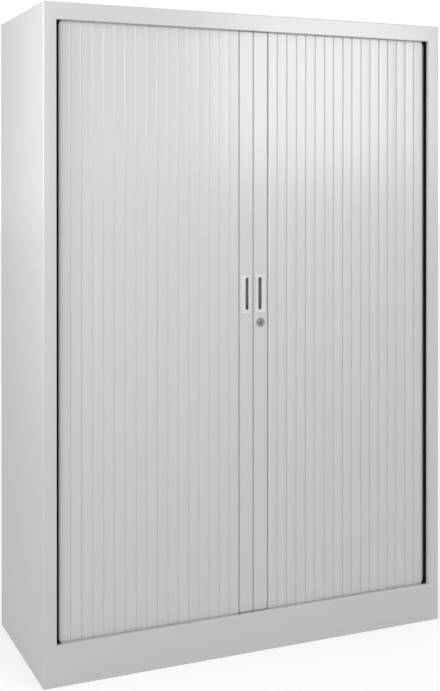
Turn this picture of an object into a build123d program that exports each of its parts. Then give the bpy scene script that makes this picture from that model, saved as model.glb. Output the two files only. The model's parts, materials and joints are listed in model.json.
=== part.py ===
"""Roll front tool cabinet with two side-opening shutters of vertical slats.

Millimetres, +Z up, +X to the right seen from the front, the front faces -Y.
The origin is on the floor, under the middle of the carcass.
Every piece of the right half is made once, and the left half is its mirror image.
"""
from build123d import *
from math import asin, atan2, cos, degrees, radians, sin, sqrt
import os

os.makedirs("parts", exist_ok=True)

# ---------------------------------------------------------------- driving sizes

cabinet_width = 1200.0
cabinet_depth = 480.0
cabinet_height = 1760.0

# folded sheet steel
sheet = 1.0
bend_radius = 1.5          # inside radius of every fold
fit_gap = 0.2              # between a sheet and the skin it slides into

# front frame, welded and ground flush
post_width = 35.0
rail_height = 45.0
plinth_height = 107.0
frame_return = 13.0        # depth of the lip that runs round the opening
rear_flange = 20.0
deck_flange = 20.0

# shutter slats
slat_count = 17            # on the front, each side
corner_slat_count = 2      # behind the post, each side
curtain_setback = 17.0     # front plane to slat face
curtain_side_gap = 10.0    # side skin to slat face in the side pocket
curtain_rear_gap = 9.0     # back panel to slat face in the rear pocket
corner_radius = 40.0       # of the hinge line
rear_run = 125.0           # straight track behind the false back
face_to_hinge = 5.0
slat_plate = 1.6           # thickness of the face
slat_web = 1.4             # of the two webs that carry the bead and the socket
slat_groove = 0.6          # between the faces of two slats
slat_bevel = 3.0
slat_bevel_drop = 1.2
bead_radius = 1.6
bead_sides = 6
bead_neck = 1.0
hinge_gap = 0.3
socket_wall = 1.0
socket_facets = 5          # flats of the hook that wraps the bead
socket_margin = 7.0        # degrees of play past the sharpest bend
body_gap = 0.7             # socket to the next slat's web

# tracks
track_height = 14.0
track_wall = 2.0
track_floor = 2.0
track_play = 1.3           # slat face to the outer wall of the groove
track_play_inside = 0.4    # socket to the inner wall
slat_foot_gap = 0.5
slat_head_gap = 1.0

# lead stiles
stile_width = 42.0
stile_depth = 16.0
stile_wall = 1.5
stile_nose = 2.0           # radius of the edges at the middle of the cabinet
stile_groove = 1.4         # stile face to the hinge line
meeting_gap = 2.0
cap_plate = 2.0
cap_plug = 15.0
cap_gap = 0.6              # cap to the top of the track
tongue_width = 26.0
tongue_thickness = 7.0
seal_width = 16.0
seal_thickness = 1.6

# flush handles
handle_z = 989.5
plate_width = 30.0
plate_length = 108.0
plate_height = 1.5         # proud of the stile's face
plate_corner = 5.0
recess_width = 10.0
recess_length = 86.0
recess_edge = 2.0
cup_depth = 12.0           # behind the stile's face
cup_wall = 1.2
cup_gap = 0.5

# cylinder lock in the right-hand stile
lock_z = 908.5
plug_radius = 7.5
plug_gap = 0.05
housing_radius = 9.5       # over the corners of the sleeve
housing_sides = 12
rosette_radius = 13.0
rosette_height = 3.0
plug_setback = 0.8         # plug face behind the rosette's crest
keyway_width = 1.8
keyway_height = 8.5
keyway_depth = 6.0
lock_nut_across = 24.0
lock_nut_thickness = 3.0
tang = 6.0
hook_thickness = 1.5
hook_half_width = 4.0
hook_nib_length = 4.4
hook_nib_rise = 4.5
hook_screw_radius = 4.0
hook_screw_head = 1.5
keep_thickness = 1.5
keep_height = 70.0
slot_play = 0.6            # hook to the window and to the keep

# store behind the shutters
lining_clear = 22.0        # hinge line to the side lining
store_front_clear = 28.0   # hinge line to the front of the store
store_rear_clear = 24.0    # hinge line to the false back
lining_flange = 6.0
false_back_flange = 12.0
upright_width = 22.0
upright_depth = 5.0
upright_inset = 45.0       # centre of an upright from the end of the lining
slot_first = 130.0         # bottom of the lowest slot
slot_pitch = 100.0
slot_height = 12.0
slot_width = 3.2
shelf_count = 4
shelf_drop = 25.0
shelf_return = 12.0
shelf_side_drop = 20.0
shelf_gap = 1.0            # shelf to upright
shelf_end_gap = 2.0        # shelf to lining ends
clip_thickness = 2.6
clip_ledge = 10.0
clip_ledge_height = 4.0
clip_neck = 8.0
clip_hook = 6.0
clip_gap = 0.3

# ---------------------------------------------------------------- worked-out places

half_width = cabinet_width / 2
front = -cabinet_depth / 2
rear = cabinet_depth / 2
opening_half = half_width - post_width
opening_top = cabinet_height - rail_height
back_inner = rear - 2 * sheet

deck_top = plinth_height - sheet - track_height
ceiling = opening_top + sheet + track_height
deck_half = half_width - sheet - fit_gap
deck_front = front + frame_return

hinge_front = front + curtain_setback + face_to_hinge
hinge_side = half_width - sheet - curtain_side_gap - face_to_hinge
hinge_rear = back_inner - curtain_rear_gap - face_to_hinge
arc_start = hinge_side - corner_radius
stile_hinge = meeting_gap / 2 + stile_width
slat_pitch = (arc_start - stile_hinge) / slat_count
slat_turn = 2 * asin(slat_pitch / 2 / corner_radius)

slat_bottom = deck_top + track_floor + slat_foot_gap
slat_top = ceiling - track_floor - slat_head_gap
socket_radius = bead_radius + hinge_gap
socket_outer = socket_radius + socket_wall

groove_outside = face_to_hinge + track_play
groove_inside = socket_outer + track_play_inside

stile_bottom = deck_top + track_height + cap_gap + cap_plate
stile_top = ceiling - track_height - cap_gap - cap_plate
stile_face = hinge_front - face_to_hinge
stile_back = stile_face + stile_depth
stile_inner_edge = meeting_gap / 2
stile_outer_edge = stile_hinge - socket_radius - socket_wall / 2
handle_x = stile_inner_edge + stile_width / 2
lock_x = handle_x
hook_reach = lock_x + stile_inner_edge + stile_wall + keep_thickness + slot_play + hook_nib_length

store_half = hinge_side - lining_clear
store_front = hinge_front + store_front_clear
store_rear = hinge_rear - store_rear_clear
floor_level = deck_top + track_height
upright_places = (store_front + upright_inset, store_rear - upright_inset)
upright_face = store_half - upright_depth
shelf_half = upright_face - shelf_gap
slot_total = int((ceiling - slot_first - slot_height) // slot_pitch) + 1
clip_drop = shelf_side_drop + clip_ledge_height


def shelf_levels():
    """Heights of the shelf tops: the slots nearest to an even division of the store."""
    bay = (opening_top - floor_level) / (shelf_count + 1)
    lowest = slot_first + clip_drop
    steps = [round((floor_level + bay * (n + 1) - lowest) / slot_pitch) for n in range(shelf_count)]
    return [lowest + slot_pitch * step for step in steps]


# ---------------------------------------------------------------- shared shapes


def left_offset(points, distance):
    """The corner points of a polyline moved to its left by a distance."""
    normals = []
    for (x0, y0), (x1, y1) in zip(points, points[1:]):
        length = sqrt((x1 - x0) ** 2 + (y1 - y0) ** 2)
        normals.append(((y0 - y1) / length, (x1 - x0) / length))
    moved = []
    for index, (x, y) in enumerate(points):
        before = normals[max(index - 1, 0)]
        after = normals[min(index, len(normals) - 1)]
        scale = distance / (1 + before[0] * after[0] + before[1] * after[1])
        moved.append((x + scale * (before[0] + after[0]), y + scale * (before[1] + after[1])))
    return moved


def folded(points, thickness=sheet, inside=bend_radius, rounded=None):
    """Section of a strip bent only to the left, with its outside on the given points.

    rounded holds a flag for each fold: folds that nothing shows are drawn as sharp creases.
    """
    rounded = rounded or [True] * (len(points) - 2)
    inner_points = left_offset(points, thickness)
    outer = FilletPolyline(*points, radius=[(inside + thickness) * flag for flag in rounded])
    inner = FilletPolyline(*inner_points, radius=[inside * flag for flag in rounded])
    ends = [Line(points[0], inner_points[0]), Line(points[-1], inner_points[-1])]
    return make_face(outer.edges() + inner.edges() + ends)


def upward(section, bottom, top):
    """Extrude a plan section from one height to another."""
    return extrude(Pos(0, 0, bottom) * section, amount=top - bottom, dir=(0, 0, 1))


def across(section, left, right):
    """Extrude a section drawn as (Y, Z) along X."""
    return extrude(Pos(left, 0, 0) * (Plane.YZ * section), amount=right - left, dir=(1, 0, 0))


def block(x, y, z):
    """A cuboid given by its three ranges."""
    size = (x[1] - x[0], y[1] - y[0], z[1] - z[0])
    centre = ((x[0] + x[1]) / 2, (y[0] + y[1]) / 2, (z[0] + z[1]) / 2)
    return Pos(*centre) * Box(*size)


def front_view(x, y, z):
    """Plane seen from the front: its X is the cabinet's X, its Y is up."""
    return Plane(origin=(x, y, z), x_dir=(1, 0, 0), z_dir=(0, -1, 0))


def inward(sketch, x, y, z, depth):
    """Extrude a sketch seen from the front into the cabinet."""
    return extrude(front_view(x, y, z) * sketch, amount=depth, dir=(0, 1, 0))


def mirrored(shape):
    return mirror(shape, about=Plane.YZ)


def save(name, shape):
    export_step(shape, f"parts/{name}.step")


def save_pair(name, right_shape):
    save(f"{name}_right", right_shape)
    save(f"{name}_left", mirrored(right_shape))


# ---------------------------------------------------------------- carcass


def side_panel():
    """One sheet: front post with its return lip, side skin and rear flange."""
    plan = folded([
        (opening_half, front + frame_return),
        (opening_half, front),
        (half_width, front),
        (half_width, rear),
        (half_width - rear_flange, rear),
    ], rounded=[True, True, False])
    return upward(plan, 0, cabinet_height)


def top_wing():
    """The part of the top that reaches over a post, notched for the post's return."""
    behind = front + frame_return
    outer = half_width - sheet
    plan = make_face(Polyline(
        (opening_half, behind),
        (opening_half + sheet, behind),
        (opening_half + sheet, front + sheet),
        (outer, front + sheet),
        (outer, rear - sheet),
        (opening_half, rear - sheet),
        close=True,
    ))
    folds = [v for v in plan.vertices() if abs(v.X - outer) < fit_gap or abs(v.Y - front - sheet) < fit_gap]
    return upward(chamfer(folds, bend_radius), cabinet_height - sheet, cabinet_height)


def top_panel():
    """Top skin with the front rail and its lip, and a flange down over the back."""
    section = folded([
        (rear, cabinet_height - rear_flange),
        (rear, cabinet_height),
        (front, cabinet_height),
        (front, opening_top),
        (front + frame_return, opening_top),
    ], rounded=[False, True, True])
    wing = top_wing()
    return across(section, -opening_half, opening_half) + wing + mirrored(wing)


def front_plinth():
    """Bottom rail and plinth in one, with the sill lip above and a foot flange below."""
    section = folded([
        (front + frame_return, plinth_height),
        (front, plinth_height),
        (front, 0),
        (front + frame_return, 0),
    ], rounded=[True, False])
    return across(section, -opening_half, opening_half)


def back_panel():
    """Back sheet inside the rear flanges, with a foot flange."""
    section = folded([
        (rear - sheet - rear_flange, 0),
        (rear - sheet, 0),
        (rear - sheet, cabinet_height - sheet - bend_radius),
    ], rounded=[False])
    half = half_width - sheet - bend_radius
    return across(section, -half, half)


def lower_deck():
    """Carries the tracks, the linings and the floor of the store."""
    section = folded([
        (back_inner, deck_top - deck_flange),
        (back_inner, deck_top),
        (deck_front, deck_top),
        (deck_front, deck_top - deck_flange),
    ], rounded=[False, False])
    return across(section, -deck_half, deck_half)


def upper_deck():
    """Closes the store above and carries the upper tracks."""
    section = folded([
        (deck_front, ceiling + deck_flange),
        (deck_front, ceiling),
        (back_inner, ceiling),
        (back_inner, ceiling + deck_flange),
    ], rounded=[False, False])
    return across(section, -deck_half, deck_half)


def side_lining():
    """Wall between the store and the pocket that the shutter runs into."""
    plan = folded([
        (store_half + lining_flange, store_rear),
        (store_half, store_rear),
        (store_half, store_front),
        (store_half + lining_flange, store_front),
    ], rounded=[False, True])
    return upward(plan, deck_top, ceiling)


def false_back():
    """Inner back wall: the ends of the open shutters run behind it."""
    half = store_half - fit_gap
    plan = folded([
        (-half, store_rear + false_back_flange),
        (-half, store_rear),
        (half, store_rear),
        (half, store_rear + false_back_flange),
    ], rounded=[False, False])
    return upward(plan, deck_top, ceiling)


# ---------------------------------------------------------------- shelves


def shelf_pan(level, drop, lip, half, end_gap, side_drop):
    """A sheet folded down on four sides, with a lip under the front and the back edge."""
    ahead = store_front + end_gap
    behind = store_rear - end_gap
    section = folded([
        (behind - lip, level - drop),
        (behind, level - drop),
        (behind, level),
        (ahead, level),
        (ahead, level - drop),
        (ahead + lip, level - drop),
    ], rounded=[False, False, True, False])
    pan = across(section, -half, half)
    edge = bend_radius + sheet
    for side in (-half, half - sheet):
        height = (level - side_drop, level - sheet / 2)
        pan += block((side, side + sheet), (ahead + edge, behind - edge), height)
    return pan


def shelf(level):
    return shelf_pan(level, shelf_drop, shelf_return, shelf_half, shelf_end_gap, shelf_side_drop)


def store_floor():
    """Bottom shelf: stands on the lower deck, level with the tracks."""
    return shelf_pan(floor_level, track_height, shelf_return, store_half - fit_gap, fit_gap, track_height)


def shelf_upright(y):
    """Hat-section strip on the side lining, with a ladder of slots."""
    half = upright_width / 2
    plan = folded([
        (store_half, y + half),
        (upright_face, y + half),
        (upright_face, y - half),
        (store_half, y - half),
    ], rounded=[False, False])
    strip = upward(plan, floor_level, ceiling)
    slots = [
        block(
            (upright_face - sheet, upright_face + 2 * sheet),
            (y - slot_width / 2, y + slot_width / 2),
            (slot_first + slot_pitch * n, slot_first + slot_pitch * n + slot_height),
        )
        for n in range(slot_total)
    ]
    return strip - slots


def shelf_clip(y, level):
    """Stamped clip: a ledge under the shelf's edge, and a hook through a slot."""
    base = level - clip_drop
    top = base + clip_ledge_height
    tip = upright_face - clip_ledge
    behind = upright_face + sheet + clip_gap
    outline = make_face(Polyline(
        (tip, base),
        (behind, base),
        (behind, base - clip_hook),
        (behind + 2 * sheet, base - clip_hook),
        (behind + 2 * sheet, base + clip_neck),
        (upright_face - clip_gap, base + clip_neck),
        (upright_face - clip_gap, top),
        (tip, top),
        close=True,
    ))
    standing = front_view(0, y - clip_thickness / 2, 0) * outline
    return extrude(standing, amount=clip_thickness, dir=(0, 1, 0))


def shelf_clips():
    """Four clips for each shelf."""
    right = [shelf_clip(y, level) for level in shelf_levels() for y in upright_places]
    return Compound(right + [mirrored(clip) for clip in right])


# ---------------------------------------------------------------- tracks


def track_line(offset):
    """Corner points of the right-hand track, moved outwards from the hinge line."""
    return [
        (0, hinge_front - offset),
        (hinge_side + offset, hinge_front - offset),
        (hinge_side + offset, hinge_rear + offset),
        (arc_start - rear_run, hinge_rear + offset),
    ]


def track_band(outside, inside):
    """Plan of the strip between two offsets of the hinge line, round both corners."""
    return folded(track_line(outside), outside + inside, corner_radius - inside)


def track(bottom, groove_bottom):
    """Channel that the slat ends run in: front, corner, side pocket, corner, rear pocket."""
    depth = track_height - track_floor
    channel_plan = track_band(groove_outside + track_wall, groove_inside + track_wall)
    groove_plan = track_band(groove_outside, groove_inside)
    channel = upward(channel_plan, bottom, bottom + track_height)
    return channel - upward(groove_plan, groove_bottom, groove_bottom + depth)


def lower_track():
    return track(deck_top, deck_top + track_floor)


def upper_track():
    return track(ceiling - track_height, ceiling - track_height)


# ---------------------------------------------------------------- slats


def faceted_arc(radius, start, end, facets):
    """Points of a polygon's corners on an arc, from one angle in degrees to another."""
    step = (end - start) / facets
    angles = [radians(start + step * n) for n in range(facets + 1)]
    return [(radius * cos(angle), radius * sin(angle)) for angle in angles]


def socket_section():
    """Hook that wraps the next slat's bead, open towards the inside of a bend."""
    neck_half = degrees(asin(bead_neck / 2 / socket_radius))
    closed_from = degrees(slat_turn) + neck_half + socket_margin
    closed_to = 360 - neck_half - socket_margin
    half_facet = radians(closed_to - closed_from) / socket_facets / 2
    outer = faceted_arc(socket_outer, closed_from, closed_to, socket_facets)
    inner = faceted_arc(socket_radius / cos(half_facet), closed_from, closed_to, socket_facets)
    return make_face(Polyline(*outer, *reversed(inner), close=True))


def slat_section():
    """Single-wall slat: bead at the origin, socket one pitch further along X, face at -Y."""
    face = -face_to_hinge
    under = face + slat_plate
    near = slat_groove / 2
    far = slat_pitch - slat_groove / 2
    bead_web = socket_outer + body_gap
    socket_web = slat_pitch - socket_radius - socket_wall / 2
    profile = make_face(Polyline(
        (near, face + slat_bevel_drop),
        (near + slat_bevel, face),
        (far, face),
        (far, under),
        (socket_web, under),
        (socket_web, 0),
        (socket_web - slat_web, 0),
        (socket_web - slat_web, under),
        (bead_web + slat_web, under),
        (bead_web + slat_web, bead_neck / 2),
        (0, bead_neck / 2),
        (0, -bead_neck / 2),
        (bead_web, -bead_neck / 2),
        (bead_web, under),
        (near, under),
        close=True,
    ))
    bead = RegularPolygon(bead_radius, bead_sides)
    return profile + bead + Pos(slat_pitch, 0) * socket_section()


def path_point(distance):
    """Point of the hinge line, from the start of the front corner on."""
    quarter = corner_radius * radians(90)
    if distance < quarter:
        angle = distance / corner_radius
        return (arc_start + corner_radius * sin(angle), hinge_front + corner_radius * (1 - cos(angle)))
    return (hinge_side, hinge_front + corner_radius + distance - quarter)


def next_hinge(start, distance):
    """Distance along the corner at which a slat that starts at a point ends."""
    low, high = distance, distance + 2 * slat_pitch
    for _ in range(60):
        middle = (low + high) / 2
        x, y = path_point(middle)
        if sqrt((x - start[0]) ** 2 + (y - start[1]) ** 2) < slat_pitch:
            low = middle
        else:
            high = middle
    return low


def place_slat(section, start, end):
    angle = degrees(atan2(end[1] - start[1], end[0] - start[0]))
    plan = Pos(start[0], start[1]) * Rot(0, 0, angle) * section
    return upward(plan, slat_bottom, slat_top)


def front_slats():
    section = slat_section()
    starts = [stile_hinge + slat_pitch * n for n in range(slat_count)]
    return Compound([
        place_slat(section, (x, hinge_front), (x + slat_pitch, hinge_front))
        for x in starts
    ])


def corner_slats():
    """Slats that stand behind the post and always fill the corner."""
    section = slat_section()
    slats = []
    distance = 0.0
    start = path_point(distance)
    for _ in range(corner_slat_count):
        distance = next_hinge(start, distance)
        end = path_point(distance)
        slats.append(place_slat(section, start, end))
        start = end
    return Compound(slats)


# ---------------------------------------------------------------- lead stiles


def hook_slot():
    """Window that the hook swings through, in both stiles and in the keep."""
    tip = sqrt(hook_reach ** 2 + (hook_half_width + hook_nib_rise) ** 2)
    wall = lock_x - stile_inner_edge - stile_wall
    drop = sqrt(tip ** 2 - wall ** 2) + slot_play
    return block(
        (-lock_x, lock_x - hook_half_width),
        (hook_front - slot_play, hook_front + hook_thickness + slot_play),
        (lock_z - drop, lock_z + hook_half_width + slot_play),
    )


def stile_section():
    """Hollow lead stile with the socket for the first slat's bead."""
    outer = make_face(Polyline(
        (stile_inner_edge, stile_face),
        (stile_hinge - stile_groove, stile_face),
        (stile_hinge - stile_groove, stile_face + slat_plate),
        (stile_outer_edge, stile_face + slat_plate),
        (stile_outer_edge, stile_back),
        (stile_inner_edge, stile_back),
        close=True,
    ))
    nose = [v for v in outer.vertices() if abs(v.X - stile_inner_edge) < fit_gap]
    outer = fillet(nose, stile_nose)
    return outer - stile_core(0) + Pos(stile_hinge, hinge_front) * socket_section()


def stile_core(gap):
    """Plan of the stile's hollow, less a gap all round."""
    x = (stile_inner_edge + stile_wall + gap, stile_outer_edge - stile_wall - gap)
    y = (stile_face + stile_wall + gap, stile_back - stile_wall - gap)
    core = Rectangle(x[1] - x[0], y[1] - y[0])
    return Pos((x[0] + x[1]) / 2, (y[0] + y[1]) / 2) * core


def handle_hole():
    """Opening in the stile's face for the grip cup, hidden by the handle's plate."""
    margin = 2 * (cup_wall + cup_gap)
    outline = Rectangle(recess_width + margin, recess_length + margin)
    return inward(outline, handle_x, stile_face - sheet, handle_z, stile_wall + 2 * sheet)


def plain_stile():
    """Extruded stile with its handle opening and hook window."""
    return upward(stile_section(), stile_bottom, stile_top) - handle_hole() - hook_slot()


def lead_stile_right():
    """The right-hand stile also carries the lock."""
    outline = RegularPolygon(housing_radius + fit_gap, housing_sides)
    return plain_stile() - inward(outline, lock_x, stile_face - sheet, lock_z, stile_wall + 2 * sheet)


def stile_cap(end, way):
    """Plastic cap: plug in the stile, plate on its end, and a tongue in the track."""
    centre_y = hinge_front + (groove_inside - groove_outside) / 2
    plate_centre = Pos((stile_inner_edge + stile_outer_edge) / 2, (stile_face + stile_back) / 2)
    plate_plan = plate_centre * Rectangle(stile_outer_edge - stile_inner_edge, stile_depth)
    tongue_plan = Pos(handle_x, centre_y) * Rectangle(tongue_width, tongue_thickness)
    tongue_plan = chamfer(tongue_plan.vertices(), tongue_thickness / 4)
    reach = cap_plate + cap_gap + track_height - track_floor - slat_foot_gap
    plate = extrude(Pos(0, 0, end) * plate_plan, amount=cap_plate, dir=(0, 0, way))
    plug = extrude(Pos(0, 0, end) * stile_core(fit_gap), amount=cap_plug, dir=(0, 0, -way))
    tongue = extrude(Pos(0, 0, end) * tongue_plan, amount=reach, dir=(0, 0, way))
    return plate + plug + tongue


def stile_caps():
    return Compound([stile_cap(stile_bottom, -1), stile_cap(stile_top, 1)])


def meeting_seal():
    """Strip on the back of the left-hand stile that covers the gap between the stiles."""
    plan = Rectangle(seal_width, seal_thickness)
    plan = chamfer(plan.vertices(), seal_thickness / 4)
    return upward(Pos(0, stile_back + hinge_gap + seal_thickness / 2) * plan, stile_bottom, stile_top)


# ---------------------------------------------------------------- flush handles


def recess_outline(extra):
    """Upright obround of the grip recess, widened by a margin all round."""
    return SlotOverall(recess_length + 2 * extra, recess_width + 2 * extra, rotation=90)


def flush_handle():
    """One moulding: a raised plate on the stile, and a grip cup behind it."""
    plate_face = stile_face - plate_height
    outline = RectangleRounded(plate_width, plate_length, plate_corner)
    plate = inward(outline, handle_x, plate_face, handle_z, plate_height)
    cup = inward(recess_outline(cup_wall), handle_x, stile_face, handle_z, cup_depth)
    recess_depth = plate_height + cup_depth - cup_wall
    recess = inward(recess_outline(0), handle_x, plate_face, handle_z, recess_depth)
    solid = plate + cup - recess
    mouth = solid.faces().sort_by(Axis.Y)[0].inner_wires()[0]
    return chamfer(mouth.edges(), recess_edge)


# ---------------------------------------------------------------- lock

housing_back = stile_face + cup_depth - 2 * cup_wall
hook_front = housing_back + plug_gap


def lock_barrel():
    """Rosette on the stile, and the sleeve behind it in which the plug turns."""
    crest = stile_face - rosette_height
    rosette = inward(Circle(rosette_radius), lock_x, crest, lock_z, rosette_height)
    outline = RegularPolygon(housing_radius, housing_sides)
    sleeve = inward(outline, lock_x, stile_face, lock_z, housing_back - stile_face)
    bore = inward(Circle(plug_radius + plug_gap), lock_x, crest, lock_z, housing_back - crest)
    return rosette + sleeve - bore


def lock_nut():
    """Hexagon nut that clamps the sleeve behind the stile's face."""
    thread = RegularPolygon(housing_radius + plug_gap, housing_sides)
    hexagon = RegularPolygon(lock_nut_across / 2, 6, major_radius=False) - thread
    return inward(hexagon, lock_x, stile_face + stile_wall, lock_z, lock_nut_thickness)


def lock_plug():
    """Turning cylinder with its keyway, and a square tang for the hook."""
    face = stile_face - rosette_height + plug_setback
    plug = inward(Circle(plug_radius), lock_x, face, lock_z, housing_back - face)
    keyway = inward(SlotOverall(keyway_height, keyway_width, rotation=90), lock_x, face, lock_z, keyway_depth)
    square = inward(Rectangle(tang, tang), lock_x, housing_back, lock_z, plug_gap + hook_thickness)
    return plug + square - keyway


def lock_hook():
    """Hook on the tang: it hangs down when unlocked, and its nib leads as it swings up."""
    nib_tip = hook_half_width + hook_nib_rise
    boss = RegularPolygon(hook_half_width + socket_wall, 8)
    arm = make_face(Polyline(
        (hook_half_width, 0),
        (hook_half_width, -hook_reach),
        (-nib_tip, -hook_reach),
        (-nib_tip, hook_nib_length - hook_reach),
        (-hook_half_width, hook_nib_length - hook_reach),
        (-hook_half_width, 0),
        close=True,
    ))
    square = Rectangle(tang + plug_gap, tang + plug_gap)
    return inward(boss + arm - square, lock_x, hook_front, lock_z, hook_thickness)


def hook_screw():
    """Hexagon screw head that holds the hook on the tang."""
    seat = hook_front + hook_thickness
    return inward(RegularPolygon(hook_screw_radius, 6), lock_x, seat, lock_z, hook_screw_head)


def lock_keep():
    """Steel strip inside the left-hand stile, whose window the hook catches in."""
    inner = -stile_inner_edge - stile_wall
    centre = lock_z - hook_reach / 4
    gap = stile_wall + 2 * fit_gap
    strip = block(
        (inner - keep_thickness, inner),
        (stile_face + gap, stile_back - gap),
        (centre - keep_height / 2, centre + keep_height / 2),
    )
    return strip - hook_slot()


# ---------------------------------------------------------------- the parts

save_pair("side_panel", side_panel())
save("top_panel", top_panel())
save("front_plinth", front_plinth())
save("back_panel", back_panel())
save("lower_deck", lower_deck())
save("upper_deck", upper_deck())
save_pair("side_lining", side_lining())
save("false_back", false_back())
save("store_floor", store_floor())
for number, level in enumerate(shelf_levels(), start=1):
    save(f"shelf_{number}", shelf(level))
save_pair("front_upright", shelf_upright(upright_places[0]))
save_pair("rear_upright", shelf_upright(upright_places[1]))
save("shelf_clips", shelf_clips())
save_pair("lower_track", lower_track())
save_pair("upper_track", upper_track())

save_pair("front_slats", front_slats())
save_pair("corner_slats", corner_slats())
save("lead_stile_right", lead_stile_right())
save("lead_stile_left", mirrored(plain_stile()))
save_pair("stile_caps", stile_caps())
save("meeting_seal", meeting_seal())
save_pair("flush_handle", flush_handle())

save("lock_barrel", lock_barrel())
save("lock_nut", lock_nut())
save("lock_plug", lock_plug())
save("lock_hook", lock_hook())
save("hook_screw", hook_screw())
save("lock_keep", lock_keep())

print("slat pitch", round(slat_pitch, 2), "turn", round(degrees(slat_turn), 1))
print("groove", round(groove_outside, 2), round(groove_inside, 2), "shelves", shelf_levels())
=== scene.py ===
# %% [markdown]
# # A roll front tool cabinet
# The cabinet is a welded sheet-steel body with two shutters of upright plastic slats. The frame
# holds every part at its true size and place, so this lesson only dresses it: it keeps the parts
# whose shape is right and gives them a finish, and models finer ones where the eye comes close.

# %% Load the frame
import json
import math
import bmesh
import bpy
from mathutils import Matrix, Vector


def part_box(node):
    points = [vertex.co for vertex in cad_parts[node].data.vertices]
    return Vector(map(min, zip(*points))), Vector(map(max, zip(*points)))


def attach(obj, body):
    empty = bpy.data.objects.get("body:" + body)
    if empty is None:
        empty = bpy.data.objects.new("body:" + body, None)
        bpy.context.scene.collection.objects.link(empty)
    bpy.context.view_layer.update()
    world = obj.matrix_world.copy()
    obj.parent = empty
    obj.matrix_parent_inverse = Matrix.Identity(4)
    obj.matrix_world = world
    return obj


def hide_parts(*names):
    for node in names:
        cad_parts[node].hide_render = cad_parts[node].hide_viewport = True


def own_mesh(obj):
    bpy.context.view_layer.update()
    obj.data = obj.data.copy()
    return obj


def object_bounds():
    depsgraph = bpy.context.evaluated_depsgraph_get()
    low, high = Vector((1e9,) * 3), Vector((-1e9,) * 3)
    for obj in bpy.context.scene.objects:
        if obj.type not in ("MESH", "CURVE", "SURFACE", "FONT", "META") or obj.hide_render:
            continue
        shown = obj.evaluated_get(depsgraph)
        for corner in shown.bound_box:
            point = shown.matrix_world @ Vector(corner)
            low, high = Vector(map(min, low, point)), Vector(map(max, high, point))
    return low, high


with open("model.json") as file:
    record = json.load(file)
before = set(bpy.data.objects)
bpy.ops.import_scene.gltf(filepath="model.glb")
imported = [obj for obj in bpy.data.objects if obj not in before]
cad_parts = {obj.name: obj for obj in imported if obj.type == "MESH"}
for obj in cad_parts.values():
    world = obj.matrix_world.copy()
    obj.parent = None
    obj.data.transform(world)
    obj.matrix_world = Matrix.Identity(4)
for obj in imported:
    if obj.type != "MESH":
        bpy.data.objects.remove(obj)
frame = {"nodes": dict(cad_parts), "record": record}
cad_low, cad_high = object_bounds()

nodes = frame["nodes"]
print("nodes", len(nodes), "box", [round(v, 3) for v in cad_high - cad_low])

# %% [markdown]
# ## Sizes that the pieces share
# A length is written in millimetres, as on a workshop drawing, and MM turns it into metres.
# What the frame can tell is read from it: the post, the rail and the slats give their own boxes.

# %% Shared sizes
MM = 0.001
half_width, front, rear, height = cad_high.x, cad_low.y, cad_high.y, cad_high.z
slats_low, slats_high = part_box("front_slats_right")
stile_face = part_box("lead_stile_right")[0].y
plinth_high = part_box("front_plinth")[1]
opening_half = plinth_high.x
opening_low, opening_high = plinth_high.z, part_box("top_panel")[0].z
sheet = 1.0 * MM
lip_depth = plinth_high.y - front
print("opening", round(opening_half * 2, 3), "wide,", round(opening_high - opening_low, 3), "high")

# %% [markdown]
# ## Camera
# The camera stands a little to the left, at the height of a standing person's chest. The picture
# plane is kept almost upright and shifted down, as a photographer does to keep tall edges parallel.

# %% Camera
camera_data = bpy.data.cameras.new("camera")
camera = bpy.data.objects.new("camera", camera_data)
bpy.context.scene.collection.objects.link(camera)
camera.location = (-1.348, -3.080, 1.286)
camera.rotation_euler = (math.radians(89.75), 0, math.radians(-23.58))
camera_data.lens = 59.31
camera_data.shift_y = -0.2229
bpy.context.scene.camera = camera
print("camera", tuple(round(v, 2) for v in camera.location))

# %% [markdown]
# ## Floor and light
# Painted sheet shows its shape through slow changes of tone, so the light is a studio's. The room
# is an even light grey, a little darker overhead, that shows itself to the camera as white paper.
# The floor is white paper too; it glows a little to the eye but throws no light of its own. Four
# soft boxes stand in front and at the left: a wide one gives the shutters and the side their tone,
# one on the right lights the upper slats, a weak strip high in front adds a little in the middle,
# and a narrow one lifts the side's rear.

# %% Floor
floor_glow = 0.32
bpy.ops.object.select_all(action="DESELECT")
bpy.ops.mesh.primitive_plane_add(size=60, location=(0, 0, 0))
floor = bpy.context.object
floor.name = "floor"
floor_paint = bpy.data.materials.new("floor_paint")
floor_paint.use_nodes = True
floor_tree = floor_paint.node_tree
floor_shader = floor_tree.nodes["Principled BSDF"]
floor_shader.inputs["Base Color"].default_value = (0.9, 0.9, 0.9, 1)
floor_shader.inputs["Roughness"].default_value = 1.0
floor_shader.inputs["Emission Color"].default_value = (1, 1, 1, 1)
seen = floor_tree.nodes.new("ShaderNodeLightPath")
lift = floor_tree.nodes.new("ShaderNodeMath")
lift.operation = "MULTIPLY"
lift.inputs[1].default_value = floor_glow
floor_tree.links.new(seen.outputs["Is Camera Ray"], lift.inputs[0])
floor_tree.links.new(lift.outputs[0], floor_shader.inputs["Emission Strength"])
floor.data.materials.append(floor_paint)
bpy.context.scene.view_settings.view_transform = "Standard"
print("floor at", floor.location.z)

# %% Lights


def soft_box(name, place, target, size, power, spread):
    """A rectangular area light that faces a target; a narrow spread keeps its light together."""
    data = bpy.data.lights.new(name, "AREA")
    data.shape = "RECTANGLE"
    data.size, data.size_y = size
    data.energy = power
    data.spread = math.radians(spread)
    light = bpy.data.objects.new(name, data)
    bpy.context.scene.collection.objects.link(light)
    light.location = place
    light.rotation_euler = (Vector(target) - Vector(place)).to_track_quat("-Z", "Y").to_euler()
    return light


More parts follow.
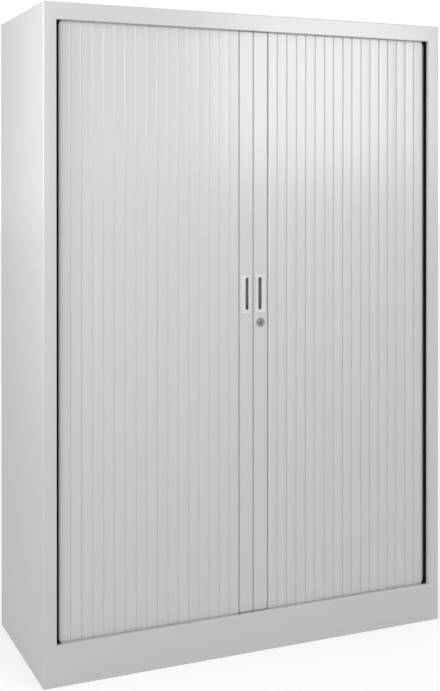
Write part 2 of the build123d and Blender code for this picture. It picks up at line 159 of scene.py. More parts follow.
lights = [
    soft_box("right_box", (1.5, -2.6, 2.0), (0.2, -0.24, 1.6), (1.0, 1.3), 4.2, 90),
    soft_box("strip_box", (-0.4, -3.0, 2.35), (0.1, -0.24, 1.2), (0.3, 0.6), 0.8, 180),
    soft_box("left_wide", (-2.5, -1.9, 1.9), (-0.5, -0.24, 1.4), (0.8, 1.2), 22.3, 180),
    soft_box("left_side", (-2.4, -0.7, 1.9), (-0.6, -0.4, 1.5), (0.5, 1.2), 2.2, 50),
]
print("lights", [light.name for light in lights])

# %% Room


def studio(overhead, around, seen_level, low_z=0.3, high_z=0.75):
    """A grey room, darker overhead, that shows itself to the camera as white paper."""
    world = bpy.data.worlds.new("studio")
    world.use_nodes = True
    tree = world.node_tree
    direction = tree.nodes.new("ShaderNodeTexCoord")
    parts = tree.nodes.new("ShaderNodeSeparateXYZ")
    ramp = tree.nodes.new("ShaderNodeMapRange")
    ramp.interpolation_type = "SMOOTHSTEP"
    ramp.inputs["From Min"].default_value = low_z
    ramp.inputs["From Max"].default_value = high_z
    ramp.inputs["To Min"].default_value = around
    ramp.inputs["To Max"].default_value = overhead
    sees = tree.nodes.new("ShaderNodeLightPath")
    either = tree.nodes.new("ShaderNodeMix")
    either.inputs[3].default_value = seen_level
    tree.links.new(direction.outputs["Generated"], parts.inputs["Vector"])
    tree.links.new(parts.outputs["Z"], ramp.inputs["Value"])
    tree.links.new(sees.outputs["Is Camera Ray"], either.inputs[0])
    tree.links.new(ramp.outputs["Result"], either.inputs[2])
    tree.links.new(either.outputs[0], tree.nodes["Background"].inputs["Strength"])
    tree.nodes["Background"].inputs["Color"].default_value = (1, 1, 1, 1)
    return world


bpy.context.scene.world = studio(overhead=0.54, around=0.76, seen_level=1.02)
print("room", bpy.context.scene.world.name)

# %% [markdown]
# ## Node groups for the finishes
# Powder coat, moulded plastic and plated steel all have a fine skin and a slow drift of tone. Both
# are built once as shader groups, and each material gives them its own scale and strength.

# %% Group helper


def new_group(name, inputs, outputs):
    """An empty shader group with named number and colour sockets."""
    group = bpy.data.node_groups.new(name, "ShaderNodeTree")
    kinds = {"n": "NodeSocketFloat", "c": "NodeSocketColor"}
    for socket, kind in inputs:
        group.interface.new_socket(socket, in_out="INPUT", socket_type=kinds[kind])
    for socket, kind in outputs:
        group.interface.new_socket(socket, in_out="OUTPUT", socket_type=kinds[kind])
    ends = group.nodes.new("NodeGroupInput"), group.nodes.new("NodeGroupOutput")
    return group, *ends


def math_node(tree, operation, first, second=None):
    """A Math node; a socket is linked and a number is typed in."""
    node = tree.nodes.new("ShaderNodeMath")
    node.operation = operation
    for place, value in zip(node.inputs, (first, second)):
        if isinstance(value, bpy.types.NodeSocket):
            tree.links.new(value, place)
        elif value is not None:
            place.default_value = value
    return node.outputs[0]


print("node helpers ready")

# %% Skin grain group


def make_skin_grain():
    """Fine pebbles for the bump, and a slow cloud for the tone."""
    group, start, end = new_group(
        "skin_grain", [("Grain", "n"), ("Drift", "n")], [("Height", "n"), ("Tone", "n")]
    )
    place = group.nodes.new("ShaderNodeTexCoord")
    fine = group.nodes.new("ShaderNodeTexNoise")
    slow = group.nodes.new("ShaderNodeTexNoise")
    fine.inputs["Detail"].default_value = 2.0
    slow.inputs["Detail"].default_value = 3.0
    for noise, socket in ((fine, "Grain"), (slow, "Drift")):
        group.links.new(place.outputs["Object"], noise.inputs["Vector"])
        group.links.new(start.outputs[socket], noise.inputs["Scale"])
    group.links.new(fine.outputs["Fac"], end.inputs["Height"])
    group.links.new(slow.outputs["Fac"], end.inputs["Tone"])
    return group


skin_grain = make_skin_grain()
print("group", skin_grain.name)

# %% Drawn lines group


def make_drawn_lines():
    """Fine upright lines left by an extrusion die, or by brushing: noise stretched along Z."""
    group, start, end = new_group("drawn_lines", [("Scale", "n")], [("Height", "n")])
    place = group.nodes.new("ShaderNodeTexCoord")
    stretch = group.nodes.new("ShaderNodeMapping")
    noise = group.nodes.new("ShaderNodeTexNoise")
    stretch.inputs["Scale"].default_value = (1, 1, 0.004)
    noise.inputs["Detail"].default_value = 2.0
    group.links.new(place.outputs["Object"], stretch.inputs["Vector"])
    group.links.new(stretch.outputs["Vector"], noise.inputs["Vector"])
    group.links.new(start.outputs["Scale"], noise.inputs["Scale"])
    group.links.new(noise.outputs["Fac"], end.inputs["Height"])
    return group


drawn_lines = make_drawn_lines()
print("group", drawn_lines.name)

# %% Shade group


def make_shade():
    """Lightens and darkens a colour a little where a mask is over or under one half."""
    group, start, end = new_group(
        "shade", [("Color", "c"), ("Mask", "n"), ("Amount", "n")], [("Color", "c")]
    )
    centred = math_node(group, "SUBTRACT", start.outputs["Mask"], 0.5)
    change = math_node(group, "MULTIPLY", centred, start.outputs["Amount"])
    factor = math_node(group, "ADD", change, 1.0)
    scale = group.nodes.new("ShaderNodeVectorMath")
    scale.operation = "SCALE"
    group.links.new(start.outputs["Color"], scale.inputs[0])
    group.links.new(factor, scale.inputs["Scale"])
    group.links.new(scale.outputs["Vector"], end.inputs["Color"])
    return group


shade = make_shade()
print("group", shade.name)

# %% [markdown]
# ## Materials
# Each finish is a Principled shader. Colour and roughness drift slightly over a surface through the
# groups, and the grain goes through a Bump node. What is the same all over is typed on the shader.
# The drift of roughness is kept small, because a satin coat that turns glossy in islands looks wet.

# %% Material helper
rough_drift = 0.04
grain_depth = 0.2 * MM


def group_node(tree, group, **values):
    """A group placed in a material, with numbers or a colour typed into its sockets."""
    node = tree.nodes.new("ShaderNodeGroup")
    node.node_tree = group
    for name, value in values.items():
        node.inputs[name].default_value = value
    return node


def finish(name, colour, rough, grain, drift=3.0, tone=0.05, bump=0.05, lines=None, **fixed):
    """A finish with a fine grain, a drift of tone, and upright lines if their scale is given."""
    material = bpy.data.materials.new(name)
    material.use_nodes = True
    tree = material.node_tree
    shader = tree.nodes["Principled BSDF"]
    skin = group_node(tree, skin_grain, Grain=grain, Drift=drift)
    tint = group_node(tree, shade, Color=(*colour, 1), Amount=tone)
    tree.links.new(skin.outputs["Tone"], tint.inputs["Mask"])
    tree.links.new(tint.outputs["Color"], shader.inputs["Base Color"])
    spread = math_node(tree, "MULTIPLY", skin.outputs["Tone"], rough_drift)
    roughness = math_node(tree, "ADD", spread, rough - rough_drift / 2)
    tree.links.new(roughness, shader.inputs["Roughness"])
    relief = tree.nodes.new("ShaderNodeBump")
    relief.inputs["Strength"].default_value = bump
    relief.inputs["Distance"].default_value = grain_depth
    height = skin.outputs["Height"]
    if lines:
        drawn = group_node(tree, drawn_lines, Scale=lines)
        height = math_node(tree, "ADD", height, drawn.outputs["Height"])
    tree.links.new(height, relief.inputs["Height"])
    tree.links.new(relief.outputs["Normal"], shader.inputs["Normal"])
    for socket, value in fixed.items():
        shader.inputs[socket.replace("_", " ")].default_value = value
    return material


print("finish() makes a material")

# %% Materials
glossy = {"Specular_IOR_Level": 0.8}
dull = {"Specular_IOR_Level": 0.1}
finishes = {
    "carcass": finish("powder_coat", (0.612, 0.616, 0.619), 0.25, 900, bump=0.04, **glossy),
    "inner_sheet": finish("inner_powder_coat", (0.58, 0.60, 0.595), 0.5, 900, bump=0.12),
    "zinc": finish(
        "zinc_plate", (0.60, 0.61, 0.63), 0.34, 300, tone=0.16, bump=0.08, lines=700, Metallic=1.0
    ),
    "track_plastic": finish("track_plastic", (0.05, 0.05, 0.052), 0.5, 1400),
    "slat": finish(
        "slat_plastic", (0.636, 0.637, 0.636), 0.24, 1200, tone=0.03, bump=0.03, lines=500, **glossy
    ),
    "stile": finish("stile_coat", (0.63, 0.634, 0.636), 0.22, 900, bump=0.02, **glossy),
    "cap_plastic": finish("cap_plastic", (0.35, 0.355, 0.36), 0.5, 1400),
    "handle": finish("handle_plastic", (0.72, 0.725, 0.73), 0.3, 1500, bump=0.06),
    "chrome": finish(
        "bright_nickel", (0.44, 0.445, 0.45), 0.1, 500, tone=0.04, bump=0.02, Metallic=1.0
    ),
    "seal": finish("seal_rubber", (0.30, 0.305, 0.31), 0.7, 1200, bump=0.2),
}
# Near black for the pulls' slots and the keyway: painted shade of those deep recesses.
painted_shade_black = finish("recess_painted_shade", (0.004, 0.004, 0.004), 0.9, 1500, bump=0.06, **dull)
# Black of the edge pile, and painted shade of the deep gap beside the slats.
trim_pile_and_shade = finish("pile_and_painted_shade", (0.004, 0.004, 0.004), 0.9, 2500, bump=0.4, **dull)
print("materials", len(finishes) + 2)

# %% Dress the frame's own parts
slot_of = {part["node"]: part["material_slot"] for part in frame["record"]["subparts"]}
for name, node in nodes.items():
    node.data.materials.clear()
    node.data.materials.append(finishes[slot_of[name]])
print("dressed", len(slot_of), "nodes")

# %% [markdown]
# ## Helpers for modelling
# An operator works on whatever is selected, so each helper first clears the selection and then
# picks faces, edges or points by where they are. That is what a click of the mouse does by hand.

# %% Selection helpers


def only(piece):
    """Selects one object and nothing else."""
    bpy.ops.object.select_all(action="DESELECT")
    piece.select_set(True)
    bpy.context.view_layer.objects.active = piece


def choose(piece, kind, test):
    """In edit mode, selects the VERT, EDGE or FACE elements whose own box passes a test."""
    bpy.ops.mesh.select_mode(type=kind)
    bpy.ops.mesh.select_all(action="DESELECT")
    mesh = bmesh.from_edit_mesh(piece.data)
    groups = {"VERT": mesh.verts, "EDGE": mesh.edges, "FACE": mesh.faces}
    found = 0
    for element in groups[kind]:
        corners = [element.co] if kind == "VERT" else [v.co for v in element.verts]
        low = Vector([min(c[i] for c in corners) for i in range(3)])
        high = Vector([max(c[i] for c in corners) for i in range(3)])
        if test(low, high):
            element.select = True
            found += 1
    mesh.select_flush_mode()
    bmesh.update_edit_mesh(piece.data)
    return found


def close_to(value, place):
    """True within a fiftieth of a millimetre."""
    return abs(value - place) < 0.02 * MM


def at_y(low, high, y):
    """An element that lies flat in the plane at a depth."""
    return close_to(low.y, y) and close_to(high.y, y)


def pull_out(step, edges=False):
    """Extrudes what is selected along Y."""
    extrude = bpy.ops.mesh.extrude_edges_move if edges else bpy.ops.mesh.extrude_region_move
    extrude(TRANSFORM_OT_translate={"value": (0, step, 0)})


print("selection helpers ready")

# %% Shape helpers


def block(name, low, high):
    """A cube primitive stretched between two corners, with its place in its mesh."""
    bpy.ops.object.select_all(action="DESELECT")
    centre = [(a + b) / 2 for a, b in zip(low, high)]
    size = [b - a for a, b in zip(low, high)]
    bpy.ops.mesh.primitive_cube_add(size=1, location=centre, scale=size)
    piece = bpy.context.object
    piece.name = name
    bpy.ops.object.transform_apply(location=True, rotation=True, scale=True)
    return piece


def edit(piece):
    """Opens one object in edit mode; done() closes it."""
    only(piece)
    bpy.ops.object.mode_set(mode="EDIT")


def done():
    """Closes edit mode."""
    bpy.ops.object.mode_set(mode="OBJECT")


def round_edges(piece, test, radius, segments=3):
    """Rounds the edges that pass a test."""
    edit(piece)
    found = choose(piece, "EDGE", test)
    if found:
        bpy.ops.mesh.bevel(offset=radius, segments=segments, affect="EDGES", profile=0.5)
    done()
    return found


def tidy_normals(piece, merge=True):
    """Merges points that coincide, and turns all faces outwards."""
    edit(piece)
    bpy.ops.mesh.select_all(action="SELECT")
    if merge:
        bpy.ops.mesh.remove_doubles(threshold=0.001 * MM)
    bpy.ops.mesh.normals_make_consistent(inside=False)
    done()


def settle(piece, material, body, angle=32):
    """Smooths the shading with large faces kept flat, and hangs the piece on its body."""
    only(piece)
    bpy.ops.object.shade_smooth_by_angle(angle=math.radians(angle))
    flat = piece.modifiers.new("flat_faces", "WEIGHTED_NORMAL")
    flat.keep_sharp = True
    bpy.ops.object.modifier_apply(modifier="flat_faces")
    if not piece.data.materials:
        piece.data.materials.append(material)
    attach(piece, body)
    print(piece.name, len(piece.data.polygons), "faces")
    return piece


print("shape helpers ready")

# %% [markdown]
# ## The welded body
# Posts, rail, plinth, sides and top are separate folded sheets on the real cabinet, but their
# joints are welded, ground and sprayed over, so the eye sees one skin with soft folded edges. It is
# made as one piece: a box without back and bottom, an opening cut by an inset, lips pulled inwards,
# folds rounded by a bevel, and last a wall of sheet thickness.

# %% Body box with its opening
body = block("carcass_shell", (-half_width, front, 0), (half_width, rear, height))
edit(body)
choose(body, "FACE", lambda low, high: close_to(low.y, rear) or close_to(high.z, 0))
bpy.ops.mesh.delete(type="FACE")
choose(body, "FACE", lambda low, high: close_to(high.y, front))
post = half_width - opening_half
bpy.ops.mesh.inset(thickness=post, depth=0, use_even_offset=True)
choose(body, "VERT", lambda low, high: close_to(low.z, height - post) and close_to(low.y, front))
bpy.ops.transform.translate(value=(0, 0, opening_high - height + post))
choose(body, "VERT", lambda low, high: close_to(low.z, post) and close_to(low.y, front))
bpy.ops.transform.translate(value=(0, 0, opening_low - post))
choose(body, "FACE", lambda low, high: low.x > -opening_half - MM
       and high.x < opening_half + MM and low.z > opening_low / 2)
bpy.ops.mesh.delete(type="FACE")
done()
print("body skin", len(body.data.polygons), "faces")

# %% Lips and flanges


def in_opening_rim(low, high):
    """An edge of the opening, in the plane of the front."""
    beside = high.x < opening_half + MM and low.x > -opening_half - MM
    above = low.z > opening_low - MM and high.z < opening_high + MM
    return beside and above and close_to(high.y, front)


rear_flange = 20 * MM
edit(body)
choose(body, "EDGE", in_opening_rim)
pull_out(lip_depth, edges=True)
choose(body, "EDGE", lambda low, high: at_y(low, high, rear))
bpy.ops.mesh.extrude_edges_move()
shrink = (1 - rear_flange / half_width, 1, 1 - rear_flange / height)
bpy.ops.transform.resize(value=shrink, center_override=(0, rear, 0))
choose(body, "EDGE", lambda low, high: close_to(high.z, 0) and close_to(high.y, front))
pull_out(lip_depth, edges=True)
done()
tidy_normals(body)
print("with lips", len(body.data.polygons), "faces")

# %% Folds and sheet thickness
post_bend, bend, seam_bend = 4 * MM, 2.5 * MM, 0.8 * MM


def at_side(low):
    """True at the outside of a side skin."""
    return abs(abs(low.x) - half_width) < MM


def is_upright_fold(low, high, y):
    """An upright edge of the sides, at the front or at the rear."""
    return at_side(low) and close_to(low.x, high.x) and at_y(low, high, y)


def is_fold(low, high):
    """The rear folds of the sides, the folds of the top, and the four edges of the opening."""
    level = close_to(low.z, high.z) and close_to(low.y, high.y)
    rim_fold = in_opening_rim(low, high) and close_to(low.y, front)
    return is_upright_fold(low, high, rear) or (level and close_to(low.z, height)) or rim_fold


def is_top_seam(low, high):
    """The long edges where the top is welded to the sides."""
    return close_to(low.z, height) and at_side(low) and high.y - low.y > lip_depth


folds = round_edges(body, lambda low, high: is_upright_fold(low, high, front), post_bend, 6)
folds += round_edges(body, is_fold, bend, 4)
seams = round_edges(body, is_top_seam, seam_bend, 2)
only(body)
wall = body.modifiers.new("wall", "SOLIDIFY")
wall.thickness, wall.offset, wall.use_even_offset = sheet, -1, True
bpy.ops.object.modifier_apply(modifier="wall")
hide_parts("side_panel_right", "side_panel_left", "top_panel", "front_plinth")
settle(body, finishes["carcass"], "cabinet")
print("folds", folds, "seams", seams)

# %% [markdown]
# ## One slat
# A slat is a plastic extrusion: a face with a shallow crown and one sloping edge, a web behind it
# that carries a round bead, and a socket for the next slat's bead. The face is a cube cut across by
# bisects: the web is pulled out of its back, and the rows between them are bent into the crown. The
# socket is a short strip spun round the hinge line. A real slat has a second web that holds its
# socket. Here only the two cuts for it are made, so the strip hangs free behind the face.

# %% Slat sizes
slat_count = 17
bead_radius, face_y, under_y = 1.6 * MM, -5.0 * MM, -3.4 * MM
first_hinge = slats_low.x + bead_radius
hinge_y = slats_low.y - face_y
hinge_play = 0.56 * MM
corner_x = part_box("corner_slats_right")[0].x + bead_radius + slat_count * hinge_play
pitch = (corner_x - first_hinge) / slat_count
near_x, far_x = 0.3 * MM, pitch - 0.3 * MM
crest, crown = near_x + 3 * MM, 0.16 * MM
near_drop = 1.2 * MM
crest_round, far_round = 0.7 * MM, 0.5 * MM
web = 1.4 * MM
bead_web, socket_web = 3.6 * MM, pitch - 2.4 * MM
bead_arm = (2.9 * MM, 1.0 * MM)
socket_inner, socket_outer = 1.9 * MM, 2.9 * MM
socket_start, socket_sweep = -66, -272
slat_bottom, slat_top = slats_low.z, slats_high.z
slat_length = slat_top - slat_bottom
print("slat", round(pitch / MM, 1), "x", round(slat_length / MM, 1), "mm")

# %% Slat face and web


def cut_through(place, normal):
    """Cuts all of the mesh along a plane and keeps both sides."""
    bpy.ops.mesh.select_all(action="SELECT")
    bpy.ops.mesh.bisect(plane_co=place, plane_no=normal)


def slat_face():
    """The face with its bead's arm; its near edge slopes back and its middle stands proud."""
    piece = block("slat", (near_x, face_y, slat_bottom), (far_x, under_y, slat_top))
    edit(piece)
    crown_cuts = [crest + (far_x - crest) * n / 8 for n in range(1, 8)]
    web_cuts = [bead_web, bead_web + web, socket_web - web, socket_web]
    for x in (crest, *web_cuts, *crown_cuts):
        cut_through((x, 0, 0), (1, 0, 0))
    choose(piece, "FACE", lambda low, high: close_to(low.y, under_y) and close_to(low.x, bead_web)
           and close_to(high.x, bead_web + web))
    for step in bead_arm:
        pull_out(step)
    arm_y = under_y + bead_arm[0]
    choose(piece, "FACE", lambda low, high: close_to(low.y, arm_y) and close_to(high.x, bead_web))
    bpy.ops.mesh.extrude_region_move(TRANSFORM_OT_translate={"value": (-bead_web, 0, 0)})
    choose(piece, "VERT", lambda low, high: close_to(low.y, face_y) and close_to(low.x, near_x))
    bpy.ops.transform.translate(value=(0, near_drop, 0))
    middle, half = (crest + far_x) / 2, (far_x - crest) / 2
    for x in (*crown_cuts, *web_cuts, far_x, crest):
        choose(piece, "VERT", lambda low, high: close_to(low.y, face_y) and close_to(low.x, x))
        bpy.ops.transform.translate(value=(0, crown * ((x - middle) / half) ** 2, 0))
    done()
    return piece


def ends_crown(low, high, x):
    """The long edge of the face where the crown ends."""
    upright = high.z - low.z > slat_length / 2 and close_to(low.x, x) and close_to(high.x, x)
    return upright and at_y(low, high, face_y + crown)


slat = slat_face()
softened = round_edges(slat, lambda low, high: ends_crown(low, high, crest), crest_round)
softened += round_edges(slat, lambda low, high: ends_crown(low, high, far_x), far_round)
print("slat face", len(slat.data.polygons), "faces,", softened, "edges softened")

# %% Bead and socket


def slat_bead():
    """A rod round the hinge line."""
    bpy.ops.object.select_all(action="DESELECT")
    middle = (slat_bottom + slat_top) / 2
    bpy.ops.mesh.primitive_cylinder_add(
        vertices=14, radius=bead_radius, depth=slat_length, location=(0, 0, middle)
    )
    bpy.ops.object.transform_apply(location=True)
    return bpy.context.object


def slat_socket(centre_x):
    """A strip as wide as the socket's wall, turned to where the wall starts and spun round."""
    piece = block("socket", (centre_x + socket_inner, 0, slat_bottom),
                  (centre_x + socket_outer, MM, slat_top))
    edit(piece)
    choose(piece, "FACE", lambda low, high: high.y - low.y > 0.5 * MM)
    bpy.ops.mesh.delete(type="FACE")
    choose(piece, "FACE", lambda low, high: low.y > 0.9 * MM)
    bpy.ops.mesh.delete(type="FACE")
    bpy.ops.mesh.select_all(action="SELECT")
    hinge = (centre_x, 0, 0)
    start, sweep = math.radians(socket_start), math.radians(socket_sweep)
    bpy.ops.transform.rotate(value=start, orient_axis="Z", center_override=hinge)
    bpy.ops.mesh.spin(steps=12, angle=sweep, center=hinge, axis=(0, 0, 1))
    done()
    return piece


parts = [slat, slat_bead(), slat_socket(pitch)]
only(slat)
for part in parts:
    part.select_set(True)
bpy.ops.object.join()
tidy_normals(slat)
print("slat", len(slat.data.polygons), "faces")

# %% [markdown]
# ## The two curtains
# The slat is copied once for each place, and the copies of a side are joined. A shut curtain hangs
# drawn out, so the play of each hinge adds to the pitch. No curtain hangs quite straight: the
# hinges stray by up to 0.3 mm, each slat leans by an angle of its own, and the light catches some
# slats more than others. Two curtains seldom hang alike, so the right one has slightly wider and
# deeper grooves than the left, and the first slat of each is cut back beside its stile. As a
# shutter opens its curtain draws together towards the post.

# %% Copy the slats


def copy_slat(x, y, turn):
    """A copy of the slat with its bead at a point, turned about it."""
    copied = slat.copy()
    copied.data = slat.data.copy()
    bpy.context.scene.collection.objects.link(copied)
    only(copied)
    copied.location = (x, y, 0)
    copied.rotation_euler = (0, 0, math.radians(turn))
    bpy.ops.object.transform_apply(location=True, rotation=True)
    return copied


def joined(name, pieces):
    """Joins pieces into the first of them, under a new name."""
    only(pieces[0])
    for piece in pieces:
        piece.select_set(True)
    bpy.ops.object.join()
    pieces[0].name = name
    pieces[0].data.name = name
    return pieces[0]


def mirrored_copy(piece, name):
    """The same piece for the left side, with its faces turned outwards again."""
    copied = piece.copy()
    copied.data = piece.data.copy()
    copied.name = name
    bpy.context.scene.collection.objects.link(copied)
    only(copied)
    copied.scale = (-1, 1, 1)
    bpy.ops.object.transform_apply(scale=True)
    tidy_normals(copied, merge=False)
    return copied


def move_points(piece, test, step):
    """Moves the points of a piece that pass a test."""
    edit(piece)
    choose(piece, "VERT", test)
    bpy.ops.transform.translate(value=step)
    done()


print("copy helpers ready")

# %% Two curtains
stile_groove = 2.0 * MM
hinge_stray = 0.28 * MM


def is_near_edge(low, high):
    """A point of the sloping edge that faces the stile."""
    return low.x < near_x + 2 * MM and low.y < under_y + 0.1 * MM and high.y > face_y + 0.5 * MM


def is_stile_edge(low, high):
    """A point of that edge or of the crest beside it, on the first slat of a curtain."""
    return low.x < first_hinge + 4 * MM and low.y < hinge_y + under_y + MM


def curtain(name, seed, gap, sink):
    """Slats hung in a chain whose hinges lie a little in front of or behind the straight line."""
    move_points(slat, is_near_edge, (gap, sink, 0))
    inner = [hinge_stray * math.sin(seed * n * n + n) for n in range(1, slat_count)]
    stray = [0.0, *inner, 0.0]
    slats = []
    for n in range(slat_count):
        lean = math.degrees(math.atan2(stray[n + 1] - stray[n], pitch))
        slats.append(copy_slat(first_hinge + pitch * n, hinge_y + stray[n], lean))
    move_points(slats[0], is_stile_edge, (stile_groove, 0, 0))
    move_points(slat, is_near_edge, (-gap, -sink, 0))
    return joined(name, slats)


right_curtain = curtain("curtain_right", 1.7, gap=0.5 * MM, sink=0.3 * MM)
left_first = curtain("curtain_left_first", 2.3, gap=-0.2 * MM, sink=-0.5 * MM)
left_curtain = mirrored_copy(left_first, "curtain_left")
bpy.data.objects.remove(left_first)
print("curtains", len(right_curtain.data.polygons), "faces each")

# %% Slats in the corner
corner_radius = 38.5 * MM
turn = 2 * math.degrees(math.asin(pitch / 2 / corner_radius))


def corner_slats():
    """The two slats that are on their way round the corner."""
    pieces = []
    for n in range(2):
        angle = math.radians(turn * n)
        x = corner_x + corner_radius * math.sin(angle)
        y = hinge_y + corner_radius * (1 - math.cos(angle))
        pieces.append(copy_slat(x, y, turn * (n + 0.5)))
    return joined("corner_curtain_right", pieces)


right_corner = corner_slats()
left_corner = mirrored_copy(right_corner, "corner_curtain_left")
bpy.data.objects.remove(slat)
print("each corner slat turns", round(turn, 1), "degrees")

# %% Hang the curtains
for piece, corner, side, sign in (
    (right_curtain, right_corner, "right", 1),
    (left_curtain, left_corner, "left", -1),
):
    for part, node in ((piece, "front_slats_"), (corner, "corner_slats_")):
        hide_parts(node + side)
        settle(part, finishes["slat"], "cabinet", angle=28)
    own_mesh(piece)

# %% [markdown]
# ## Edge trim of the posts
# A black strip with a short pile sits on the inner edge of each post and brushes the slats, so no
# light passes beside them. Its black is partly the pile's own and partly painted shade of the deep
# gap beside the slats. Both ends widen into the moulded guides of the tracks. It is a thin
# block whose long side is cut near its ends and pulled out there.

# %% Edge trims
trim_edge = 557 * MM
trim_depth = (front + lip_depth - 1.0 * MM, slats_low.y - 0.6 * MM)
trim_gap, behind_post = 0.5 * MM, 3 * MM
guide_start, guide_middle = 12 * MM, 5 * MM
guide_steps = ((3 * MM, 7 * MM), (4 * MM, 2 * MM))


def edge_trim():
    """The strip of the right post; its ends widen in two steps."""
    piece = block("edge_trim_right", (trim_edge, trim_depth[0], opening_low + trim_gap),
                  (opening_half + behind_post, trim_depth[1], opening_high - trim_gap))
    edit(piece)
    for z in (opening_low + guide_start, opening_low + guide_middle,
              opening_high - guide_middle, opening_high - guide_start):
        cut_through((0, 0, z), (0, 0, 1))
    for reach, inside in guide_steps:
        choose(piece, "VERT", lambda low, high: low.x < trim_edge + MM and
               (low.z < opening_low + inside or low.z > opening_high - inside))
        bpy.ops.transform.translate(value=(-reach, 0, 0))
    done()
    return piece


right_trim = edge_trim()
left_trim = mirrored_copy(right_trim, "edge_trim_left")
# The strip's black is partly a pile and partly painted shade.
for piece in (right_trim, left_trim):
    settle(piece, trim_pile_and_shade, "cabinet")

# %% [markdown]
# ## Flush pulls
# A pull is a moulded plate with a slot for the fingertips, a little off its middle, towards the
# other shutter. Plate and slot are two loops with the same number of points, made from circles
# whose quarters are moved apart. A bridge between the loops gives the face, and the slot's loop is
# drawn back in steps: a soft mouth, a wall and a floor.

# %% Pull helper


def stretched_ring(name, points, radius, half_x, half_z, centre, y):
    """A circle seen from the front, its quarters moved apart to a given half width and height."""
    bpy.ops.object.select_all(action="DESELECT")
    bpy.ops.mesh.primitive_circle_add(
        vertices=points, radius=radius, location=(0, y, 0),
        rotation=(math.pi / 2, 0, math.pi / points),
    )
    ring = bpy.context.object
    ring.name = name
    bpy.ops.object.transform_apply(location=True, rotation=True)
    edit(ring)
    for sx in (-1, 1):
        choose(ring, "VERT", lambda low, high: low.x * sx > 0)
        bpy.ops.transform.translate(value=(sx * (half_x - radius), 0, 0))
    for sz in (-1, 1):
        choose(ring, "VERT", lambda low, high: low.z * sz > 0)
        bpy.ops.transform.translate(value=(0, 0, sz * (half_z - radius)))
    bpy.ops.mesh.select_all(action="SELECT")
    bpy.ops.transform.translate(value=(centre[0], 0, centre[1]))
    done()
    return ring


print("ring helper ready")

# %% Pull
pull_low, pull_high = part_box("flush_handle_right")
pull_x, pull_z = (pull_low.x + pull_high.x) / 2, (pull_low.z + pull_high.z) / 2
plate_half = ((pull_high.x - pull_low.x) / 2, (pull_high.z - pull_low.z) / 2)
plate_corner, plate_round = 5 * MM, 1.0 * MM
ring_points = 48
mouth_half = (5.5 * MM, 44.5 * MM)
mouth_shift = 2.5 * MM
slot_steps = ((0.3, 0.4), (0.9, 0.4), (11.1, 0.2))


def slot_middle(centre_x):
    """The slot lies nearer the other shutter than the plate's middle."""
    return centre_x - math.copysign(mouth_shift, centre_x)


def on_plate_rim(low, high, centre_x):
    """An edge of the plate's outer border: far out beside, above or below the mouth."""
    middle = (low + high) / 2
    over_x = abs(middle.x - centre_x) - (plate_half[0] - plate_corner)
    over_z = abs(middle.z - pull_z) - (plate_half[1] - plate_corner)
    return math.hypot(max(over_x, 0), max(over_z, 0)) > plate_corner - 0.1 * MM


def in_slot(low, high, centre_x):
    """An edge of the mouth's border."""
    middle = (low + high) / 2
    aside, above = abs(middle.x - centre_x), abs(middle.z - pull_z)
    return aside < mouth_half[0] + 0.1 * MM and above < mouth_half[1] + 0.1 * MM


def pull(name, centre_x):
    """A plate with its rim drawn back to the stile, and its slot."""
    plate_y, slot_x = pull_low.y, slot_middle(centre_x)
    plate_at, slot_at = (centre_x, pull_z), (slot_x, pull_z)
    outer = stretched_ring("outer", ring_points, plate_corner, *plate_half, plate_at, plate_y)
    mouth = stretched_ring("mouth", ring_points, mouth_half[0], *mouth_half, slot_at, plate_y)
    piece = joined(name, [outer, mouth])
    edit(piece)
    bpy.ops.mesh.select_all(action="SELECT")
    bpy.ops.mesh.bridge_edge_loops()
    choose(piece, "EDGE", lambda low, high: on_plate_rim(low, high, centre_x))
    pull_out(stile_face - plate_y, edges=True)
    choose(piece, "EDGE", lambda low, high: at_y(low, high, plate_y) and in_slot(low, high, slot_x))
    half_x, half_z = mouth_half
    for step, narrower in slot_steps:
        pull_out(step * MM, edges=True)
        shrink_x, shrink_z = 1 - narrower * MM / half_x, 1 - narrower * MM / half_z
        bpy.ops.transform.resize(value=(shrink_x, 1, shrink_z), center_override=(slot_x, 0, pull_z))
        half_x, half_z = half_x - narrower * MM, half_z - narrower * MM
    bpy.ops.mesh.edge_face_add()
    done()
    return piece


right_pull = pull("pull_right", pull_x)
left_pull = pull("pull_left", -pull_x)
print("pulls", len(right_pull.data.polygons), "faces each")

# %% Pull finish
mouth_depth = 0.4 * MM


def finish_pull(piece, centre_x, side):
    """Softens the plate's border, and paints the slot near black as painted shade of the recess."""
    tidy_normals(piece)
    round_edges(piece, lambda low, high: close_to(high.y, pull_low.y)
                and on_plate_rim(low, high, centre_x), plate_round)
    piece.data.materials.append(finishes["handle"])
    piece.data.materials.append(painted_shade_black)
    # Faces behind the slot's mouth take the near-black painted shade.
    for face in piece.data.polygons:
        in_reach = abs(face.center.x - slot_middle(centre_x)) < mouth_half[0]
        face.material_index = int(in_reach and face.center.y > pull_low.y + mouth_depth)
    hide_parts("flush_handle_" + side)
    return settle(piece, finishes["handle"], side + "_shutter")


finish_pull(right_pull, pull_x, "right")
finish_pull(left_pull, -pull_x, "left")

# %% [markdown]
# ## Cylinder lock
# The lock is a plated rosette with a sleeve behind it and a plug that turns inside. The rosette is
# a cylinder seen from the front: narrow rings are inset in its face, each raised to the height of a
# low dome, and the last ones sink to a rim and a bore. A boolean cuts the keyway out of the plug.

# %% Rosette
barrel_low, barrel_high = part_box("lock_barrel")
plug_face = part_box("lock_plug")[0].y
lock_x, lock_z = (barrel_low.x + barrel_high.x) / 2, (barrel_low.z + barrel_high.z) / 2
dome_radius, rosette_radius, low_rim = 24 * MM, 13 * MM, 0.3 * MM
ring_count, ring_width = 7, 0.6 * MM
bore_rim, bore_radius = 0.5 * MM, 8.05 * MM
bore_floor, sleeve_inset = 1.0 * MM, 3.6 * MM


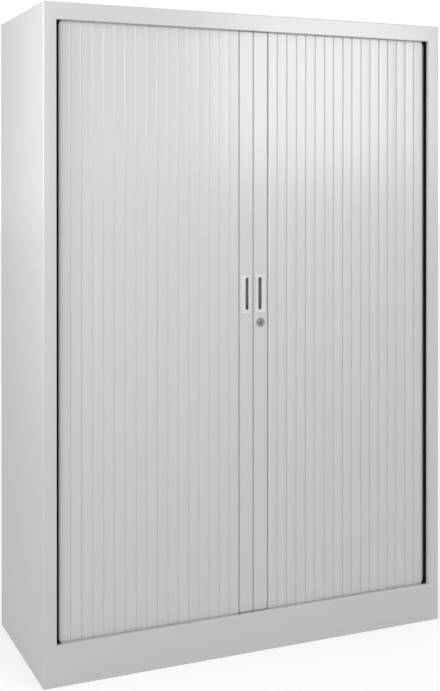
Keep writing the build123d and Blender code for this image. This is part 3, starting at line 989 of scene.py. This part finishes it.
def disc(name, radius, y0, y1, sides=64):
    """A cylinder along Y between two depths."""
    bpy.ops.object.select_all(action="DESELECT")
    bpy.ops.mesh.primitive_cylinder_add(
        vertices=sides, radius=radius, depth=y1 - y0,
        location=(lock_x, (y0 + y1) / 2, lock_z), rotation=(math.pi / 2, 0, 0),
    )
    piece = bpy.context.object
    piece.name = name
    bpy.ops.object.transform_apply(location=True, rotation=True)
    return piece


def rosette():
    """A low dome: rings are inset one after another, and each rises to the dome's height there."""
    piece = disc("lock_rosette", rosette_radius, stile_face - low_rim, stile_face)
    edit(piece)
    choose(piece, "FACE", lambda low, high: close_to(high.y, stile_face - low_rim))
    rim_height = math.sqrt(dome_radius**2 - rosette_radius**2)
    reached, radius = 0.0, rosette_radius
    for _ in range(ring_count):
        radius -= ring_width
        rise = math.sqrt(dome_radius**2 - radius**2) - rim_height
        bpy.ops.mesh.inset(thickness=ring_width, depth=rise - reached)
        reached = rise
    print("dome rises", round(reached / MM, 2), "mm")
    bpy.ops.mesh.inset(thickness=bore_rim, depth=-bore_rim)
    bpy.ops.mesh.inset(thickness=radius - bore_radius, depth=0)
    pull_out(barrel_high.y - stile_face - bore_floor)
    choose(piece, "FACE", lambda low, high: close_to(low.y, stile_face))
    bpy.ops.mesh.inset(thickness=sleeve_inset, depth=0)
    pull_out(barrel_high.y - stile_face)
    done()
    return piece


lock_rosette = rosette()
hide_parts("lock_barrel")
settle(lock_rosette, finishes["chrome"], "right_shutter")

# %% Plug with its keyway
plug_radius, plug_round = 7.45 * MM, 1.6 * MM
keyway_half, keyway_depth = (1.3 * MM, 4.25 * MM), 6 * MM


def on_plug_rim(low, high):
    """An edge of the plug's face, outside the keyway."""
    middle = (low + high) / 2
    from_axis = (middle - Vector((lock_x, plug_face, lock_z))).length
    return close_to(high.y, plug_face) and from_axis > plug_radius - 0.45 * MM


def lock_plug():
    """A short rod with a rounded rim; its keyway is cut from 1 mm in front of its face."""
    piece = disc("plug", plug_radius, plug_face, barrel_high.y - 1.5 * MM, 48)
    cutter = stretched_ring("cutter", 20, keyway_half[0], *keyway_half, (lock_x, lock_z),
                            plug_face - MM)
    edit(cutter)
    bpy.ops.mesh.select_all(action="SELECT")
    bpy.ops.mesh.edge_face_add()
    pull_out(MM + keyway_depth)
    done()
    tidy_normals(cutter, merge=False)
    only(piece)
    cut = piece.modifiers.new("keyway", "BOOLEAN")
    cut.object, cut.operation, cut.solver = cutter, "DIFFERENCE", "EXACT"
    bpy.ops.object.modifier_apply(modifier="keyway")
    bpy.data.objects.remove(cutter)
    round_edges(piece, on_plug_rim, plug_round, 4)
    return piece


plug = lock_plug()
plug.data.materials.append(finishes["chrome"])
plug.data.materials.append(painted_shade_black)
# The keyway's faces take the near-black painted shade.
for face in plug.data.polygons:
    aside, above = abs(face.center.x - lock_x), abs(face.center.z - lock_z)
    in_keyway = aside < 1.2 * MM and above < 4.5 * MM
    face.material_index = int(in_keyway and face.center.y > plug_face + 0.5 * MM)
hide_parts("lock_plug")
settle(plug, finishes["chrome"], "lock_cylinder")
